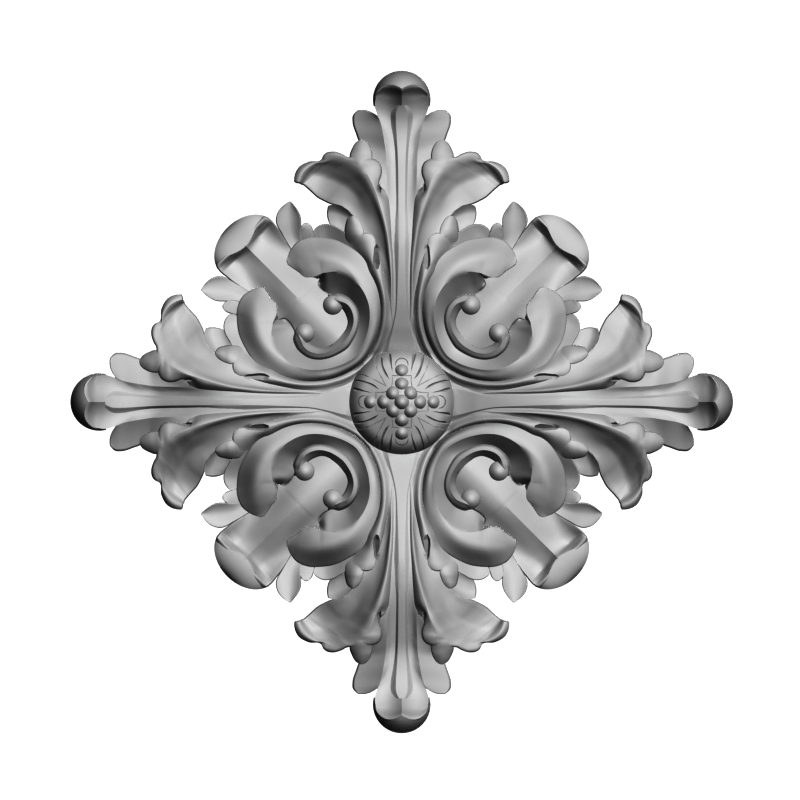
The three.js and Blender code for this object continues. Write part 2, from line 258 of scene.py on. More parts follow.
leaf("shoulder", [
    [(8.5, 196, 52), (12.5, 197, 53), (17, 198, 53), (24, 201, 52)],
    [(9, 207, 46), (14.3, 209, 49.3), (19, 211, 50.5), (26, 215, 49.5)],
    [(10.5, 224, 36), (15, 226, 39.3), (19.5, 228, 38), (27, 233, 34)],
    [(10.5, 239, 26.5), (15.4, 240, 30), (24, 244.5, 22), (33, 250, 13)],
    [(11, 249, 20.5), (15.9, 250, 24.3), (24, 251, 17.5), (34, 252.5, 10)],
    [(12, 257, 19.5), (17.2, 258, 23), (29, 258.5, 12.5), (42.5, 260.5, 3)],
    [(13.5, 265, 19.5), (18.4, 266, 23.3), (32, 267, 11.5), (45.7, 268.5, 2)],
    [(16.5, 279, 17), (21.4, 279.5, 21), (34.5, 280, 10), (49.2, 281, 0.5)],
    [(19, 283.5, 17.5), (23.5, 284.3, 22), (36, 287, 10.2), (48.4, 287.2, 1.3)],
    [(21.5, 286, 18), (25.4, 286.8, 23), (36, 291.8, 10.5), (43.5, 291.8, 5.3)],
], rows=4, steps=(2, 5, 5), creases=(1,), free="tip right")

# The big leaf on either side of an arm: a strip beside the midrib that opens into a cupped leaf, turned over
# at its tip, with lobes on its edge
leaf("big leaf", [
    [(7, 76, 33.6), (7.8, 76, 34.2), (8.6, 76, 34.4), (9.5, 76, 34.2), (10.5, 76, 34), (12, 76, 33.8)],
    [(8, 98, 46.8), (9.2, 98, 48.3), (10.2, 98, 48.8), (11.2, 98, 48), (12.5, 98, 47.3), (15, 98, 46)],
    [(8, 122, 56), (9.5, 122, 59.2), (10.6, 122, 60), (11.9, 122, 57.6), (14, 122, 54), (19, 121.5, 51)],
    [(8.8, 148.5, 61.8), (10.6, 148, 65.4), (12.2, 147.5, 66.4), (15.8, 146.5, 58.8), (21, 145, 54.2),
     (30, 140, 50)],
    [(10.2, 169.5, 61.8), (12.1, 168.8, 66.3), (14.6, 168, 69.3), (18.6, 166.5, 62.4), (26, 163, 53.8),
     (36, 156, 50)],
    [(11.3, 188, 57.6), (13.4, 187.2, 62.6), (18.8, 186, 69.8), (23.3, 183.5, 60.7), (33, 177, 50.8),
     (42, 172, 48)],
    [(12.8, 203.5, 50.3), (16, 203.3, 57.3), (23.8, 203, 67), (30.5, 199.3, 56.5), (40, 192, 43.5),
     (50, 186, 40)],
    [(14.6, 210.3, 47.8), (20.3, 209.3, 56), (25.8, 209.5, 65.2), (34, 204.7, 53.3), (43.5, 198.5, 40),
     (55, 190.4, 36.8)],
    [(22, 216.5, 55.5), (25, 216.3, 60.5), (28.3, 215.8, 64.3), (38, 210, 49.8), (47, 205, 36.5),
     (60, 194.8, 33.5)],
    [(19.8, 229, 50.5), (27.5, 228.3, 56.5), (34.5, 227.5, 58.3), (46.5, 220.5, 40), (58, 214, 25.5),
     (72.3, 198.3, 23.5)],
    [(20.3, 235.5, 48.8), (31, 234, 55.3), (39, 233, 54.3), (52, 224.7, 35.5), (64, 217, 19.3),
     (78, 201, 17.3)],
    [(23.5, 240.7, 46.8), (34, 238.5, 52), (44, 236.5, 49.3), (57.5, 227.7, 29.8), (70, 220, 14),
     (84, 204.3, 12)],
    [(31, 244, 45), (39, 241.5, 49.3), (50.5, 239.5, 43.3), (63, 230.2, 24.8), (75, 221.5, 10.5),
     (88.3, 208, 9)],
    [(43, 246, 43.3), (47, 243.5, 44.5), (53.5, 241, 41), (65.7, 231.5, 22.8), (77.5, 222.3, 9),
     (90.2, 209.8, 8)],
    [(53.5, 245.2, 37.8), (55, 243.7, 39.9), (56.5, 242, 39), (68, 233, 21), (80, 223, 7.7),
     (92, 211.5, 7.3)],
    [(60, 248.2, 32.5), (61.5, 246.3, 34.5), (63, 244, 33.6), (73, 235, 18), (84, 224.5, 6.2),
     (95.5, 214.5, 6.8)],
    [(67.5, 250.4, 27.5), (68.2, 247.5, 30.2), (69, 244.5, 29.3), (78.5, 236, 16), (88, 225.5, 6.2),
     (98.3, 216.8, 7.8)],
    [(74, 249.8, 23), (74, 246.5, 26), (74, 243, 25.3), (84, 236, 15.4), (92.3, 226.8, 8.3),
     (100.2, 217.3, 9.5)],
    [(77.5, 247.6, 21), (77.3, 245, 23.3), (77, 242, 22.7), (87, 238.6, 20), (97, 231.3, 19.6),
     (102.6, 218.6, 16.8)],
    [(78.8, 245.8, 20), (79.2, 244, 20.5), (79.5, 242, 20), (90, 239.9, 17), (100.5, 232.8, 17.2),
     (105.5, 219, 16)],
    [(79.2, 244.3, 19), (80, 243, 18.5), (81, 241.9, 17.5), (92.5, 240.4, 11.5), (103.5, 234, 11.2),
     (107.6, 220.3, 13.5)],
], rows=4, steps=(2, 4, 5, 6, 4))

leaf("big leaf top lobe", [
    [(30.5, 236, 50), (38, 236, 51.5), (47, 237, 45.5)],
    [(29.8, 241.3, 46.5), (38, 241.5, 49.4), (51, 242.3, 41.5)],
    [(29.3, 246.5, 41.3), (38, 247, 45), (52, 246.8, 37)],
    [(30.3, 252.3, 37.3), (38.5, 252.5, 40.7), (50.3, 252, 33)],
    [(32.5, 257, 33.5), (39, 257.5, 35.6), (47.8, 257, 30.5)],
    [(36, 261, 30.3), (40, 261.6, 30.5), (45, 260.3, 28.3)],
    [(38.8, 262.2, 29.3), (40.4, 262.4, 29.3), (42.5, 261.8, 28.6)],
], rows=4, steps=(6, 7))

leaf("back lobe", [
    [(49, 188, 39), (50, 181, 33.5), (52, 171, 35)],
    [(60, 195.5, 35), (60, 186, 27), (60, 172, 31.5)],
    [(67, 197.5, 31), (67.5, 188, 23.3), (67, 175, 28)],
    [(73.5, 196, 26.5), (74.7, 188, 20), (72, 178, 23.5)],
], rows=5, steps=(6, 6), free="tip")

# The inner leaf: a rib that comes round the corner of the boss, follows the arm and ends in two lobes
leaf("inner leaf", [
    [(35.6, 35.6, 12), (36.1, 36.1, 15), (36.9, 36.9, 20), (39.2, 39.2, 16)],
    [(30.7, 39.4, 13), (31.6, 40, 14.5), (33.1, 41, 18.5), (36.3, 42.8, 14.5)],
    [(24.3, 46, 13.7), (26.8, 46, 15.2), (29.7, 46, 18), (33.3, 46.4, 14.2)],
    [(19.3, 52, 16.4), (22.5, 52, 19), (26.2, 52, 23), (29.8, 53, 18.7)],
    [(15.6, 60, 21.8), (18.5, 60, 24), (22.7, 60, 28.8), (26.4, 60.5, 23.8)],
    [(13, 68, 28), (16, 68, 30), (20.3, 68, 34.8), (23.8, 68.3, 29.6)],
    [(10.8, 76, 34.3), (14.2, 76, 36.6), (18.3, 76, 41), (22, 76.5, 35.7)],
    [(10.8, 90, 42.6), (13.2, 90, 45), (17, 90, 50.3), (20.7, 90, 45)],
    [(12.2, 103, 49.3), (14.4, 103, 53), (17.5, 103, 57.9), (22, 103.3, 48.5)],
    [(14.4, 115, 53), (16.7, 115, 58), (19.6, 115.3, 61.8), (25, 115, 51)],
    [(16.5, 125, 55), (18.9, 125, 60), (22.2, 125.5, 63.4), (29.3, 124.3, 51)],
    [(18.3, 133, 56), (20.5, 133, 60.7), (24.4, 133.5, 63), (33.5, 131.5, 49.5)],
    [(20.2, 140, 57.5), (22.3, 140, 60.5), (28.5, 140.4, 61), (36.8, 139.5, 44.5)],
    [(22.6, 148, 56), (24.5, 148, 58), (29, 148, 58.6), (41.5, 145.5, 41.5)],
    [(25.4, 156, 54.8), (27.6, 156.4, 56.4), (31, 157, 57), (47.5, 152.5, 39)],
    [(26.5, 163, 54.3), (29.3, 163.5, 55.6), (33, 164, 56), (48, 162, 45.5)],
    [(30, 168, 53), (32.2, 168.8, 53.5), (34.5, 169.3, 53.7), (43, 167, 51.8)],
], rows=3, steps=(4, 4, 6), free="tip left")

leaf("inner leaf top lobe", [
    [(35, 152, 50), (39, 152, 47), (50, 150, 35)],
    [(36.5, 160, 51.5), (40, 160, 50), (54, 157.5, 34)],
    [(38, 166.5, 52.8), (42, 166, 52.2), (57, 164, 35.3)],
    [(37.8, 171.5, 51), (43, 171.5, 52.6), (57.3, 170, 37)],
    [(39.5, 177.5, 48.3), (44.5, 177, 50.5), (56.3, 177.5, 37.7)],
    [(43, 183.2, 45.3), (47.3, 183, 46.8), (54, 183.7, 39.5)],
    [(46, 185.8, 43.3), (48.5, 186.6, 43.5), (51, 186, 41.5)],
], rows=4, steps=(4, 7))

leaf("inner leaf side lobe", [
    [(48, 163, 44), (48, 157, 40.5), (48, 150, 37)],
    [(57.5, 170.8, 37.3), (58, 163.5, 34), (58, 155, 30)],
    [(62, 173.2, 34.5), (64, 166.5, 29.3), (66, 159, 24)],
    [(67.5, 176.4, 31), (70, 169.5, 25.5), (72, 160.5, 19.5)],
    [(75.5, 178.2, 27), (77, 170.5, 21.5), (79, 161.5, 16.5)],
    [(82.5, 176.5, 24.3), (83.5, 170, 20), (84.5, 162.5, 15)],
    [(87, 173, 21.5), (87, 169.5, 19.5), (86.5, 165, 16.5)],
    [(88.3, 170.5, 20.5), (88.3, 169.5, 20), (88, 168, 18.5)],
], rows=4, steps=(5, 5), free="tip left")

# The scroll in each corner: a leaf bent round the boss with a tail at either end, and inside it a hollow and
# two volutes that end in balls. These parts of the volute's side place its swelling.
SWELL_OUT = 0.3
SWELL_UP = 0.62


def with_swell(section):
    """A section with the swelling side of the volute, which stands steeply out of the hollow."""
    floor, crest = np.array(section[-3]), np.array(section[-2])
    swell = floor + (crest - floor) * np.array([SWELL_OUT, SWELL_OUT, SWELL_UP])
    return [*section[:-2], tuple(swell), *section[-2:]]


leaf("scroll and volute", both_ways([with_swell(section) for section in [
    [(39.2, 39.2, 17), (40.5, 40.5, 33), (44.5, 44.5, 44.3), (45.9, 45.9, 47), (49.7, 49.7, 39.7),
     (54, 54, 34.8), (58.8, 58.8, 49.3), (63.5, 63.5, 37)],
    [(29.4, 53.2, 19), (30.7, 53.8, 30.5), (37, 56.6, 45.6), (38.7, 57.3, 48), (42.7, 59.3, 42),
     (48.5, 62, 35.6), (53.5, 66, 49), (59, 68.5, 36)],
    [(23.5, 68, 29.5), (25, 68.4, 38.5), (32.2, 70.6, 49.5), (34, 71, 51.5), (38.5, 71.7, 44.3),
     (44, 72.3, 37), (49.8, 73.5, 48.7), (55.5, 73.5, 35)],
    [(20.9, 85, 41), (22.3, 85.1, 45.3), (30.3, 85.8, 55.3), (32, 86, 57), (36.8, 85.6, 47.8),
     (42.3, 84, 37.3), (48.2, 83, 49), (54, 81, 33.5)],
    [(20.9, 100, 46), (22.5, 99.8, 49.3), (31.3, 98.3, 58), (33.2, 97.9, 59.3), (38.3, 96, 49.5),
     (44.3, 93.5, 36.3), (50, 91, 49.3), (56.5, 88.5, 33)],
    [(23, 118.2, 48), (26, 116.7, 52), (36.3, 111.8, 59.9), (38.5, 110.6, 60.5), (43.7, 106.8, 49),
     (49.7, 101.5, 33.5), (54, 97, 49), (60, 94, 36)],
    [(32.5, 141, 46), (36, 137, 50), (47, 126, 60), (48.3, 122.7, 58.3), (52, 114.5, 43.5), (56, 106.4, 29),
     (59, 99.8, 47.8), (62, 95.5, 38.5)],
    [(47, 153, 40), (49, 149, 44.2), (56, 135, 58.5), (57, 128.3, 56.8), (60, 118.5, 41), (63, 108.7, 27.5),
     (64, 101.7, 47), (66, 97, 42)],
    [(63, 161.8, 27.5), (63.4, 157.3, 34), (65, 139.5, 55.5), (66.3, 130.3, 53.7), (68.5, 119.5, 37),
     (70, 107.5, 23.5), (69.5, 104.5, 42), (69, 97, 42)],
    [(80, 165.3, 18.5), (79.2, 160.5, 26.3), (76, 142, 51), (75.5, 129.4, 49.7), (77, 119, 32),
     (78.5, 111.8, 19.5), (78.9, 111.3, 15), (79.3, 110.8, 12)],
    [(86, 165.6, 16.5), (85, 161, 24), (80.7, 142.6, 48.3), (79.3, 128.7, 47.8), (80.4, 126.2, 33),
     (83, 117.5, 19), (83.5, 117.2, 15), (84, 117, 12)],
    [(92, 165.5, 16), (90.7, 161, 22.8), (85, 143, 45.5), (82.2, 127.5, 46), (82.6, 125.8, 30),
     (83.3, 122, 18.5), (83.9, 121.8, 15), (84.4, 121.6, 12)],
    [(100, 163, 15.8), (98.7, 159, 21.3), (93, 143.5, 39.8), (88, 125.3, 42), (88.1, 124.9, 36),
     (88.2, 124.5, 26), (88.3, 124.2, 15), (88.4, 124, 12)],
    [(106.5, 158.5, 15.8), (105.4, 155.4, 19.8), (101, 143.2, 33), (96.8, 125.6, 35.8), (96.7, 125.2, 30),
     (96.6, 124.8, 22), (96.5, 124.5, 14), (96.4, 124.2, 11)],
    [(112, 150.5, 16.5), (111.2, 148.8, 18.8), (108, 142, 26.3), (104, 131.2, 30), (104.2, 130.9, 25),
     (104.4, 130.6, 18), (104.5, 130.4, 13), (104.6, 130.2, 11)],
    [(114, 145.5, 18), (113.7, 144.7, 19), (112.7, 141.5, 21.8), (110.7, 135.7, 24.5), (110.9, 135.4, 20),
     (111.1, 135.1, 15), (111.2, 134.9, 12), (111.3, 134.7, 11)],
    [(114.8, 143.5, 19), (114.9, 142.9, 19.5), (115.1, 141, 20.3), (114, 138, 21.5), (114.2, 137.8, 18),
     (114.4, 137.6, 14), (114.5, 137.5, 12), (114.6, 137.4, 11)],
]]), rows=4, steps=(2, 5, 4, 4, 4, 3, 4, 3), creases=(3, 5, 6, 7), paired=False, free="left tip root")


def on_diagonal(along, aside, height):
    """A point so far along the diagonal and so far to the side of it."""
    return ((along - aside) * math.sqrt(0.5), (along + aside) * math.sqrt(0.5), height)


# The stem that runs out along each diagonal, ridged along its middle and capped at its end: place along, half
# width, then heights of the ridge and beside it, place and height of the trough, and height of the edge
FLANK = 11
stem = [(60, 28, 36.5, 33, 20, 27, 20), (72, 29, 40, 36.5, 20, 29.7, 22),
        (84, 29, 41.3, 37.8, 20, 30.8, 22.5), (90, 25.8, 41, 37.4, 19, 31.3, 25.5),
        (97, 23.3, 39.8, 35.8, 18.5, 29.8, 25), (101.2, 25.5, 38.7, 34.3, 19.5, 27.3, 22),
        (102.8, 30.5, 38, 33.3, 20, 26, 18.5), (105, 33, 37.2, 32.2, 20.5, 24.5, 17),
        (112, 36, 33.6, 27.8, 21, 19.8, 13), (122, 35, 27.6, 21.1, 22, 13.3, 11),
        (130, 33, 22.2, 16, 24, 9, 9.5), (138, 33, 16.5, 10.3, 22, 6, 11.5),
        (146, 35, 12.7, 5.2, 18.5, 2.7, 13.5), (150, 35.5, 12.5, 4.3, 18, 1.3, 14.5),
        (154, 36.2, 17.5, 7, 19.5, 1.5, 15.8), (156, 36.3, 21.8, 14, 20.5, 7, 17),
        (158, 36, 21, 19.3, 22.5, 13.5, 17.3), (160, 35.5, 20.5, 20.5, 22.5, 20.5, 17.5),
        (162.5, 33, 15, 15, 20, 15, 12)]
leaf("corner stem", [
    [on_diagonal(k * math.sqrt(2), aside, z)
     for aside, z in ((-half, edge), (-low, trough), (-FLANK, flank), (0, ridge), (FLANK, flank),
                      (low, trough), (half, edge))]
    for k, half, ridge, flank, low, trough, edge in stem
], rows=3, steps=(3, 3, 4, 4, 3, 3), creases=(3,), paired=False, free="left right")


def stem_cap():
    """The rounded end of a corner stem, behind a lip that waves back to either side of the diagonal."""
    half, root, length, roundness = 36.3, 220, 26.6, 36.4
    lip_middle, lip_wave, lip_bay = 220.6, 3.55, 30
    lip_return, return_width, thinnest = 3, 6.3, 0.3
    dome_length, dome_half, dome_foot, dome_rise = 26.9, 37.5, 1, 20.5
    aside = half * np.sin(np.linspace(-1, 1, num=52) * math.pi / 2)[:, None]
    part = np.linspace(0, 1, num=12)[None]
    bay = np.minimum(np.abs(aside), lip_bay) / lip_bay
    turned_back = lip_return * np.maximum(0, np.abs(aside) - lip_bay) / return_width
    inner = lip_middle + lip_wave * (1 - np.cos(math.pi * bay)) - turned_back
    rounded = root + length * np.sqrt(np.maximum(0, 1 - (aside / roundness) ** 2))
    outer = np.maximum(rounded, inner + thinnest)
    along = inner * (1 - part) + outer * part
    reach = ((along - root) / dome_length) ** 2 + (aside / dome_half) ** 4
    height = dome_foot + dome_rise * np.sqrt(np.maximum(0, 1 - reach))
    return np.stack(on_diagonal(along, aside, height), 2)


carve("stem cap", stem_cap(), paired=False, free="")

# The small leaf and lobe that show behind the scroll, next to the stem
leaf("pointed leaf", [
    [(96, 156, 12), (103, 154, 12), (110.5, 152, 13)],
    [(101, 167, 18.3), (110.5, 167, 14), (120, 168, 14.3)],
    [(100.6, 177, 24.3), (112.7, 178, 17), (125.3, 178, 20.5)],
    [(101, 185, 26.8), (113.5, 186, 19), (125.6, 184.5, 23.3)],
    [(104, 191.8, 27), (113.5, 192.8, 20.8), (122.7, 191.8, 24)],
    [(107.8, 196.8, 25.6), (112.5, 197.6, 22.3), (117.9, 196.8, 23.6)],
    [(110.6, 200, 23.8), (112, 200.4, 23.2), (113.7, 199.8, 23.2)],
], rows=5, steps=(7, 7))

leaf("round lobe", [
    [(86, 162, 13), (94, 161, 13), (106, 160, 11)],
    [(88, 170, 18.5), (95, 170, 19.5), (104, 169, 17)],
    [(90.5, 176, 21.5), (95.3, 176, 22.5), (100.5, 176, 23)],
    [(93.5, 178.8, 22.5), (95.5, 179.2, 23), (97.5, 178.8, 23)],
], rows=4, steps=(5, 5))


# The boss: a low turned cone in the middle, with petals cut in its face and thirteen beads on a sunk cross
BOSS_TOP = 66
BOSS_SLOPE = 0.62
BOSS_TIP = 6
RIM_START = 37
RIM_FALL = 0.004


def boss_height(radius):
    """A low cone with a blunt tip, rounded over towards its rim."""
    cone = BOSS_TOP - BOSS_SLOPE * (np.hypot(radius, BOSS_TIP) - BOSS_TIP)
    return cone - RIM_FALL * np.maximum(0, radius - RIM_START) ** 3


def turned_form(name, profile, around, x=0, y=0, collection=None):
    """A round form down to the waste, turned from a profile of radius and height that starts on its axis."""
    angle = np.linspace(0, 2 * math.pi, around, endpoint=False)
    rings = profile[1:] + [(profile[-1][0], -GROUND - WASTE)]
    points = [(x, y, profile[0][1])]
    points += [(x + r * math.cos(a), y + r * math.sin(a), z) for r, z in rings for a in angle]
    points.append((x, y, -GROUND - WASTE))
    ring, after = np.arange(1, around + 1), np.roll(np.arange(1, around + 1), -1)
    faces = [(0, a, b) for a, b in zip(ring, after)]
    for k in range(len(rings) - 1):
        low, high = k * around, (k + 1) * around
        faces += [(low + a, high + a, high + b, low + b) for a, b in zip(ring, after)]
    last = (len(rings) - 1) * around
    faces += [(last + a, len(points) - 1, last + b) for a, b in zip(ring, after)]
    return solid(name, points, faces, collection)


def ball(radius, height, steps, reach=1):
    """The profile of a bead, a little more pointed than a ball, from its top to its seat or past it."""
    return [(radius * f, height + radius * (1 - f * f)) for f in np.linspace(0, reach, steps)]


VOLUTE_BALL = 9.8
VOLUTE_SEAT = 39
VOLUTE_X, VOLUTE_Y = 69, 97
for side, name in ((1, "volute ball"), (-1, "volute ball mirrored")):
    turned_form(name, ball(VOLUTE_BALL, VOLUTE_SEAT, steps=9), around=26, x=side * VOLUTE_X, y=VOLUTE_Y,
                collection=quarter_forms)

BEAD = 6.1
BEAD_REACH = 1.2
BEAD_STEPS = 8
BEAD_AROUND = 24
for name, x, y in (("inner bead", 0, 17.2), ("outer bead", 0, 30.4), ("corner bead", 8.3, 8.3)):
    profile = ball(BEAD, boss_height(math.hypot(x, y)), BEAD_STEPS, BEAD_REACH)
    turned_form(name, profile, BEAD_AROUND, x, y, quarter_forms)
centre_bead = turned_form("centre bead", ball(BEAD, boss_height(0), BEAD_STEPS, BEAD_REACH), BEAD_AROUND)

BOSS_RADIUS = 52.3
BOSS_WALL = 52.8
BOSS_FOOT = 60
BOSS_FOOT_HEIGHT = 12
dome = [(BOSS_RADIUS * math.sin(a), boss_height(BOSS_RADIUS * math.sin(a)))
        for a in np.linspace(0, math.pi / 2, num=28)]
boss = turned_form("boss", dome + [(BOSS_WALL, BOSS_FOOT_HEIGHT), (BOSS_FOOT, BOSS_FOOT_HEIGHT)], around=96)

boss_cuts = bpy.data.collections.new("cuts in the boss")
slits = bpy.data.collections.new("slits beside the leaves")
CUT_STEPS = 5
THIN_END = 0.05


def cut(name, path, left, right, depth, collection, paired=True, run_out=0.2):
    """A sharp cut along a path, so wide to the left and right of its bottom, thinner at the ends."""
    path = np.array(path, float)[:, None]
    gaps = np.linalg.norm(np.diff(path[..., :2], axis=0), axis=2)
    line = smooth_run(path, gaps, [CUT_STEPS] * len(gaps))[:, 0]
    ahead = np.gradient(line, axis=0)
    sideways = np.stack([-ahead[:, 1], ahead[:, 0], 0 * ahead[:, 0]], 1)
    aside = sideways / np.hypot(ahead[:, 0], ahead[:, 1])[:, None]
    place = np.linspace(0, 1, len(line))
    fade = np.clip(np.minimum(place, 1 - place) / run_out, THIN_END, 1)[:, None]
    up = np.array([0, 0, depth]) * fade
    brinks = line + 2 * left * fade * aside + up, line - 2 * right * fade * aside + up
    points = np.concatenate([brinks[0], line - up, brinks[1]])
    n = len(line)
    faces = [(0, n, 2 * n), (n - 1, 2 * n - 1, 3 * n - 1)]
    for first, second in ((0, n), (n, 2 * n), (2 * n, 0)):
        faces += [(first + i, first + i + 1, second + i + 1, second + i) for i in range(n - 1)]
    solid(name, points, faces, collection)
    if paired:
        solid(name + " mirrored", points * MIRROR, faces, collection)


def on_boss(*places):
    """Points on the face of the boss."""
    return [(x, y, boss_height(math.hypot(x, y))) for x, y in places]


cut("petal groove", on_boss((13.7, 51.5), (11.2, 40), (9.2, 29.5)), left=1.1, right=1.1, depth=2.8,
    collection=boss_cuts)
cut("petal side groove", on_boss((21.2, 49.5), (20.2, 38.5), (17.3, 30.3), (12.4, 23)), left=1.1, right=1.1,
    depth=2.8, collection=boss_cuts)
cut("petal outline", on_boss((25, 46.4), (27, 43.3), (25.2, 34), (20.8, 25), (15.2, 14.6)),
    left=0.5, right=0.5, depth=0.7, collection=boss_cuts, run_out=0.06)
ARC_RADIUS = 6.3
ARC_CENTRE = 37.5
arc = [(ARC_RADIUS * math.cos(a), ARC_CENTRE + ARC_RADIUS * math.sin(a))
       for a in np.radians(np.linspace(start=-25, stop=205, num=9))]
cut("arc over a bead", on_boss(*arc), left=0.5, right=0.5, depth=1.4, collection=boss_cuts, paired=False)
cut("rim of the sunk cross",
    on_boss((9.7, 26.3), (9.7, 18), (11.3, 13.3), (13.3, 11.3), (18, 9.7), (26.3, 9.7)),
    left=0.6, right=0.6, depth=0.9, collection=boss_cuts, paired=False, run_out=0.02)
cut("end of the sunk cross", on_boss((10, 26.3), (6.5, 26.3), (3, 26.3)), left=0.6, right=0.6, depth=0.9,
    collection=boss_cuts, run_out=0.02)

# Place along an arm of the sunk cross, and half its width there
PANEL_SINK = 0.4
PANEL_NECK = 18
PANEL_END = 26.3
ABOVE_THE_WORK = 90
panel = np.array([(0, 10), (9.7, 17.5), (10.4, 14.5), (11.5, 12.4), (13.2, 10.8), (15.5, 9.9),
                  (PANEL_NECK, 9.7), (PANEL_END, 9.7)])
across = np.linspace(-1, 1, num=13)[None]
along = np.concatenate([panel[:-1, 0], np.linspace(PANEL_NECK, PANEL_END, num=5)])
half = np.interp(along, panel[:, 0], panel[:, 1])[:, None]
along = along[:, None] + 0 * across
sunk = np.stack([half * across, along, boss_height(np.hypot(half * across, along)) - PANEL_SINK], 2)
block("arm of the sunk cross", sunk, boss_cuts, ABOVE_THE_WORK)

cut("slit beside the big leaf",
    [(19.4, 230, 50), (20.3, 222.5, 52.5), (22.2, 214.8, 55.5), (21.3, 208.5, 56)],
    left=1.4, right=2.2, depth=8, collection=slits)
cut("slit beside the inner leaf",
    [(25.2, 159.5, 55), (25.9, 150.5, 57.5), (26.5, 141.5, 59.5), (25, 131.5, 61.5)],
    left=1.9, right=4.4, depth=7.5, collection=slits)


def add_node(tree, kind, links=None, settings=None, **values):
    """A node with its settings, its constant values and its incoming links."""
    node = tree.nodes.new(kind)
    for key, value in (settings or {}).items():
        setattr(node, key, value)
    for key, value in values.items():
        node.inputs[key.replace("_", " ")].default_value = value
    for key, source in (links or {}).items():
        for output in source if isinstance(source, list) else [source]:
            tree.links.new(output, node.inputs[key])
    return node


def linear(hexadecimal):
    """A colour given as sRGB hex, as linear values."""
    parts = [int(hexadecimal[i:i + 2], 16) / 255 for i in (0, 2, 4)]
    return [p / 12.92 if p <= 0.04045 else ((p + 0.055) / 1.055) ** 2.4 for p in parts] + [1]


# Flat grey primer, sprayed on the wood: matt and even, with a faint cloudiness of tone and a fine grit that
# breaks up the last of the shine. Real grit is finer, and is drawn this coarse so that it can show.
CLOUD_MM = 16.7
GRIT_MM = 0.4
GRIT_DEPTH_MM = 0.1
PER_METRE = 1000
primer = bpy.data.materials.new("grey primer on wood")
primer.use_nodes = True
tree = primer.node_tree
tree.nodes.clear()
place = add_node(tree, "ShaderNodeTexCoord").outputs["Object"]
cloud = add_node(tree, "ShaderNodeTexNoise", {"Vector": place}, Scale=PER_METRE / CLOUD_MM, Detail=3,
                 Roughness=0.5)
tint = add_node(tree, "ShaderNodeValToRGB", {"Fac": cloud.outputs["Fac"]})
tint.color_ramp.elements[0].color = linear("828282")
tint.color_ramp.elements[1].color = linear("868686")
grit = add_node(tree, "ShaderNodeTexNoise", {"Vector": place}, Scale=PER_METRE / GRIT_MM, Detail=2,
                Roughness=0.6)
bump = add_node(tree, "ShaderNodeBump", {"Height": grit.outputs["Fac"]}, Strength=0.05,
                Distance=GRIT_DEPTH_MM / PER_METRE)
shader = add_node(tree, "ShaderNodeBsdfPrincipled",
                  {"Base Color": tint.outputs["Color"], "Normal": bump.outputs["Normal"]},
                  Roughness=0.85, Specular_IOR_Level=0.1)
add_node(tree, "ShaderNodeOutputMaterial", {"Surface": shader.outputs["BSDF"]})

# The forms of the quarter are turned round the middle, joined to the boss, cut and planed flat at the back.
CREASE_ANGLE = math.radians(32)
SLAB = 1
carving = bpy.data.node_groups.new("four quarters joined, cut and planed", "GeometryNodeTree")
sockets = {}
for name, kind in (("Quarter forms", "Collection"), ("Boss cuts", "Collection"), ("Slits", "Collection"),
                   ("Boss", "Object"), ("Centre bead", "Object"), ("Quarters", "Int"),
                   ("Crease angle", "Float"), ("Planed off", "Float"), ("Finish", "Material")):
    socket = carving.interface.new_socket(name, in_out="INPUT", socket_type="NodeSocket" + kind)
    sockets[name] = socket.identifier
carving.interface.new_socket("Geometry", in_out="OUTPUT", socket_type="NodeSocketGeometry")
given = add_node(carving, "NodeGroupInput").outputs


def worked_out(operation, *terms):
    """A number worked out from links and constants."""
    node = add_node(carving, "ShaderNodeMath", None, {"operation": operation})
    for place, term in enumerate(terms):
        if isinstance(term, (int, float)):
            node.inputs[place].default_value = term
        else:
            carving.links.new(term, node.inputs[place])
    return node.outputs[0]


def in_four_quarters(forms):
    """Every form of a collection, turned into each of the quarters."""
    parts = add_node(carving, "GeometryNodeCollectionInfo", {"Collection": given[forms]},
                     Separate_Children=True)
    size = add_node(carving, "GeometryNodeAttributeDomainSize", {"Geometry": parts.outputs[0]},
                    {"component": "INSTANCES"})
    count = size.outputs["Instance Count"]
    number = add_node(carving, "GeometryNodeInputIndex").outputs[0]
    quarter = worked_out("FLOOR", worked_out("DIVIDE", number, count))
    angle = worked_out("MULTIPLY", worked_out("DIVIDE", quarter, given["Quarters"]), 2 * math.pi)
    spin = add_node(carving, "ShaderNodeCombineXYZ", {"Y": angle})
    total = worked_out("MULTIPLY", given["Quarters"], count)
    places = add_node(carving, "GeometryNodePoints", {"Count": total})
    turned = add_node(carving, "GeometryNodeInstanceOnPoints",
                      {"Points": places.outputs[0], "Instance": parts.outputs[0], "Instance Index": number,
                       "Rotation": spin.outputs[0]}, Pick_Instance=True)
    return turned.outputs[0]


def boolean(operation, **meshes):
    """Forms joined together, or cut from one another."""
    links = {key.replace("_", " "): source for key, source in meshes.items()}
    node = add_node(carving, "GeometryNodeMeshBoolean", links, {"operation": operation, "solver": "MANIFOLD"})
    return node.outputs[0]


